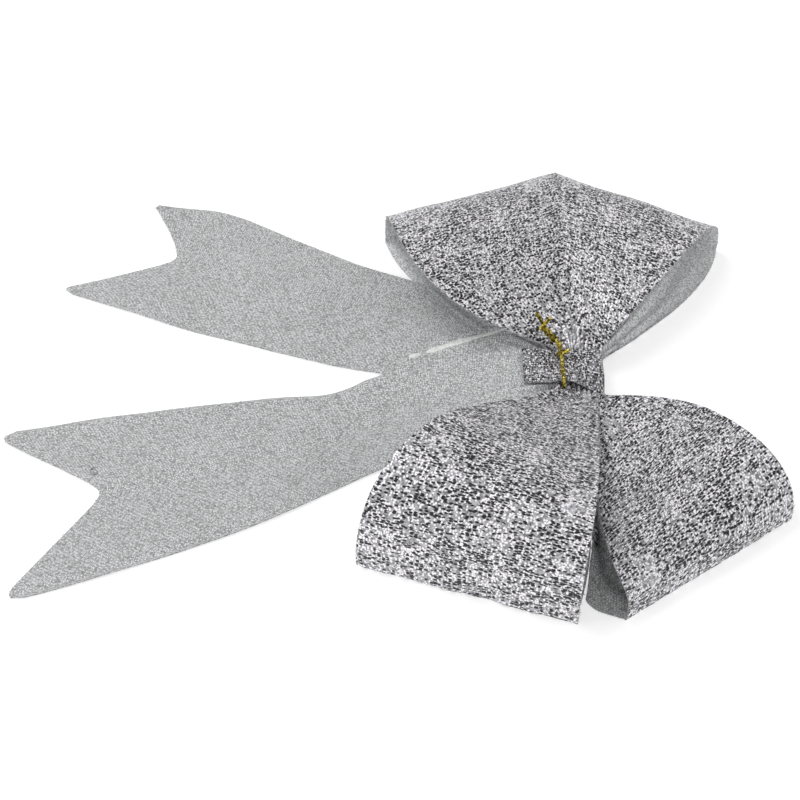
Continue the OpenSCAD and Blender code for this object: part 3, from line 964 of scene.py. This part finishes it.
TIE_TOP_Z = 10.1
TIE_HALF_Y = 8.5
TIE_LOW_Z = 7.6
TIE_CORNER = 1.2
TWIST_ROOT = np.array([-0.3, 6.7, 11.5])
TWIST_FORK = np.array([-6.0, 9.2, 16.9])
LONG_TIP = np.array([-8.0, 9.9, 21.9])
SHORT_TIP = np.array([-3.5, 9.7, 20.1])
KNOT = [(-1.3, 4.0, 10.5), (0.0, 3.8, 10.5), (1.2, 3.9, 11.1), (2.5, 4.0, 12.3)]
TWIST_TURNS = 1.6
TWIST_STEPS = 36
TWIST_RADIUS = 0.68
TWIST_START_SHARE = 0.35
TWIST_OPENS = (0, 0.3)
TINSEL_CORE = 0.46
TINSEL_CORE_SIDES = 7
TINSEL_CORE_STEP = 0.5
TINSEL_CORE_SHARES = (0.75, 1.15)
TINSEL_PER_MM = 26
TINSEL_REACH = 0.62
TINSEL_REACH_SHARES = (0.5, 1.3)
TINSEL_HALF = (0.08, 0.17)
TINSEL_LEAN = (0.2, 1.4)


def tinsel_object(name, paths, rng):
    """Foil slivers set thickly round thin cores that follow the given paths."""
    points, faces = [], []
    for path in paths:
        path = np.asarray(path, float)
        run = lengths_along(path)
        count = max(6, int(run[-1] / TINSEL_CORE_STEP))
        stations = np.linspace(0, run[-1], count)
        line = resampled(stations, run, path)
        tangents = unit_tangents(line)
        faces += tube_faces(len(points), count, TINSEL_CORE_SIDES)
        for at, tangent in zip(line, tangents):
            shares = rng.uniform(*TINSEL_CORE_SHARES, size=TINSEL_CORE_SIDES)
            points += ring_points(at, tangent, TINSEL_CORE * shares)
        for _ in range(int(run[-1] * TINSEL_PER_MM)):
            distance = rng.uniform(0, run[-1])
            at = resampled(distance, stations, line)
            tangent = resampled(distance, stations, tangents)
            out = square_to(tangent / np.linalg.norm(tangent), rng.uniform(0, 2 * math.pi))
            lean = tangent * rng.choice([-1, 1]) * rng.uniform(*TINSEL_LEAN)
            direction = (out + lean) / np.linalg.norm(out + lean)
            flat = np.cross(direction, rng.normal(size=3))
            flat = flat / np.linalg.norm(flat) * rng.uniform(*TINSEL_HALF)
            root = at + out * TINSEL_CORE * 0.7
            length = TINSEL_REACH * rng.uniform(*TINSEL_REACH_SHARES)
            lift = np.cross(flat, direction) * 0.25
            faces += sliver_faces(len(points))
            points += [root - flat, root + flat, root + lift, root + direction * length]
    return mesh_object(name, points, faces, [TINSEL], [0] * len(faces), sharp_degrees=25)


def tie_ring_path():
    """The single run of the tie over the band, down each side into the gathers."""
    corners = [(0, -TIE_HALF_Y, TIE_LOW_Z), (0, -TIE_HALF_Y, TIE_TOP_Z),
               (0, TIE_HALF_Y, TIE_TOP_Z), (0, TIE_HALF_Y, TIE_LOW_Z)]
    return rounded_path(corners, TIE_CORNER)


def twisted_path(phase, tip):
    """One strand of the twist, from its root round the other one to its own tip."""
    axis = TWIST_FORK - TWIST_ROOT
    axis = axis / np.linalg.norm(axis)
    points = []
    for share in np.linspace(0, 1, TWIST_STEPS):
        opened = float(smooth_step(share, *TWIST_OPENS))
        radius = TWIST_RADIUS * mix(TWIST_START_SHARE, 1, opened)
        out = square_to(axis, phase + 2 * math.pi * TWIST_TURNS * share)
        points.append(mix(TWIST_ROOT, TWIST_FORK, share) + radius * out)
    last = points[-1]
    points += [mix(last, tip, share) for share in np.linspace(0, 1, 7)[1:]]
    return points


def make_tie(seed):
    rng = np.random.default_rng(seed)
    ring = tinsel_object("tie_sleeve", [tie_ring_path(), KNOT], rng)
    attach(ring, "waist")
    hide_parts("tie_tinsel")
    long_end = tinsel_object("tie_twist_long", [twisted_path(0, LONG_TIP)], rng)
    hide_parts("tie_end_long")
    short_end = tinsel_object("tie_twist_short", [twisted_path(math.pi, SHORT_TIP)], rng)
    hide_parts("tie_end_short")
    for end in (long_end, short_end):
        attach(end, "tie_end")


# ---------------------------------------------------------------- dried adhesive

# Ridges of adhesive on the near tail: start, end, half width at the start and at the end,
# and how far the middle bows away from the waist's long axis
STREAKS = [((-41.2, 12.9), (-16.6, 19.0), 1.75, 0.6, 0.4),
           ((-46.6, 11.4), (-43.0, 12.2), 1.0, 0.9, 0.1)]
STREAK_ROWS = 60
STREAK_COLUMNS = 9
STREAK_HEIGHT = 0.4
STREAK_SINK = 0.12
STREAK_GRAIN = 0.02
STREAK_WOBBLE = 0.1
STREAK_WOBBLE_RATE = 17
RAY_START_Z = 60


def height_over(tail, x, y):
    """Height of a tail's upper skin over a plan point, in millimetres."""
    origin = Vector(placed((x, y, RAY_START_Z)))
    hit, place, _, _ = tail.ray_cast(origin, Vector((0, 0, -1)))
    return place.z / MM if hit else 0.0


def ridge(tail, spec, rng):
    """The upper face of one ridge, as a grid that follows the tail below it."""
    start, end, half_start, half_end, bow = spec
    along = np.subtract(end, start) / np.linalg.norm(np.subtract(end, start))
    aside = np.array([-along[1], along[0]])
    top = np.zeros((STREAK_ROWS, STREAK_COLUMNS, 3))
    for i, share in enumerate(np.linspace(0, 1, STREAK_ROWS)):
        middle = mix(np.array(start), np.array(end), share)
        middle = middle + aside * bow * math.sin(math.pi * share)
        ends = math.sin(math.pi * mix(0.01, 0.99, share)) ** 0.35
        wobble = 1 + STREAK_WOBBLE * math.sin(STREAK_WOBBLE_RATE * share)
        half = mix(half_start, half_end, share) * ends * wobble
        ground = height_over(tail, *middle)
        for j, side in enumerate(np.linspace(-1, 1, STREAK_COLUMNS)):
            place = middle + aside * side * half
            under = height_over(tail, *place)
            under = under if abs(under - ground) < 1 else ground
            rise = STREAK_HEIGHT * math.sqrt(max(0.0, 1 - side * side)) * ends
            top[i, j] = (*place, under + rise + STREAK_GRAIN * rng.normal() * ends)
    return top


def make_streak(tail, seed):
    rng = np.random.default_rng(seed)
    bpy.context.view_layer.update()
    points, faces = [], []
    for spec in STREAKS:
        top = ridge(tail, spec, rng)
        bottom = top - [0, 0, STREAK_SINK]
        bottom[..., 2] = np.minimum(bottom[..., 2], top[:, :1, 2])
        shell = np.vstack(shell_faces(STREAK_ROWS, STREAK_COLUMNS)) + len(points)
        if surface_normals(top)[..., 2].mean() < 0:
            shell = shell[:, ::-1]
        faces += shell.tolist()
        points += [*top.reshape(-1, 3), *bottom.reshape(-1, 3)]
    streak = mesh_object("glue_streak", points, faces, [GLUE], [0] * len(faces))
    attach(streak, "waist")


# ---------------------------------------------------------------- loose thread

THREAD = [(-137.0, -36.0, 0.6), (-138.6, -35.2, 1.0), (-140.0, -36.2, 1.4),
          (-139.6, -38.0, 1.5), (-138.0, -37.8, 1.2), (-138.2, -36.6, 1.0)]
THREAD_RADIUS = 0.16
THREAD_SIDES = 6
THREAD_STEPS = 40


def make_thread():
    """A pulled thread that curls out of the near tail's cut."""
    line = smooth_path(THREAD, np.linspace(0, 1, THREAD_STEPS))
    points = []
    for at, tangent in zip(line, unit_tangents(line)):
        points += ring_points(at, tangent, [THREAD_RADIUS] * THREAD_SIDES)
    faces = tube_faces(0, THREAD_STEPS, THREAD_SIDES)
    coords = [(0.0, 0.0, 0.0)] * len(points)
    thread = mesh_object("loose_thread", points, faces, [CUT_EDGE], [0] * len(faces), coords)
    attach(thread, "near_tail")


# ---------------------------------------------------------------- studio

CAMERA_FROM_WAIST = (-49.53, -348.14, 330.74)
CAMERA_PITCH_DOWN = 44.0
CAMERA_LENS = 69.75
CAMERA_SENSOR = 36.0

# Lights: place and disk size in metres, and power in watts
LIGHTS = {
    "key_light": ((-0.35, 0.25, 0.9), 0.5, 3.0),
    "fill_light": ((0.6, -0.5, 0.8), 0.8, 1.6),
    "side_light": ((-0.9, -0.3, 0.3), 0.6, 3.0),
}
WORLD_STRENGTH = 0.56
FLOOR_GLOW = 0.55
FLOOR_HALF = 6.0


def make_camera():
    data = bpy.data.cameras.new("camera")
    data.lens = CAMERA_LENS
    data.sensor_width = CAMERA_SENSOR
    camera = linked("camera", data)
    camera.location = Vector(placed(CAMERA_FROM_WAIST))
    camera.rotation_euler = (math.radians(90 - CAMERA_PITCH_DOWN), 0, 0)
    bpy.context.scene.camera = camera


def area_light(name, place, size, power):
    """A round soft light that faces the object."""
    data = bpy.data.lights.new(name, "AREA")
    data.shape = "DISK"
    data.size = size
    data.energy = power
    light = linked(name, data)
    light.location = place
    light.rotation_euler = (-Vector(place)).to_track_quat("-Z", "Y").to_euler()


def make_studio():
    world = bpy.data.worlds.new("studio_world")
    world.use_nodes = True
    world.node_tree.nodes["Background"].inputs[0].default_value = (1, 1, 1, 1)
    world.node_tree.nodes["Background"].inputs[1].default_value = WORLD_STRENGTH
    bpy.context.scene.world = world
    for name, (place, size, power) in LIGHTS.items():
        area_light(name, place, size, power)
    bpy.context.scene.view_settings.view_transform = "Standard"
    mesh = bpy.data.meshes.new("studio_floor")
    corners = [(-1, -1), (1, -1), (1, 1), (-1, 1)]
    mesh.from_pydata([(FLOOR_HALF * x, FLOOR_HALF * y, 0) for x, y in corners], [],
                     [(0, 1, 2, 3)])
    mesh.materials.append(floor_material())
    floor = linked("studio_floor", mesh)


def dress_cad_node(node, material):
    """Gives a carried-over CAD node its material."""
    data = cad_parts[node].data
    data.materials.clear()
    data.materials.append(material)


# Seeds of the random draws. Each piece has its own, so that a change to one leaves the
# others as they are.
LOOP_SEEDS = {"far_left": 1, "far_right": 2, "near_left": 3, "near_right": 4}
FAR_TAIL_SEED = 11
NEAR_TAIL_SEED = 12
BAND_SEED = 21
TIE_SEED = 31
STREAK_SEED = 41

make_camera()
make_studio()
for loop_name, loop_seed in LOOP_SEEDS.items():
    make_loop(loop_name, LOOPS[loop_name], loop_seed)
make_tail("tail_far", TAILS["tail_far"], FAR_TAIL_SEED)
near_tail = make_tail("tail_near", TAILS["tail_near"], NEAR_TAIL_SEED)
make_band(BAND_SEED)
make_tie(TIE_SEED)
make_streak(near_tail, STREAK_SEED)
make_thread()
dress_cad_node("band_glue", GLUE)
dress_cad_node("tie_wire", WIRE)
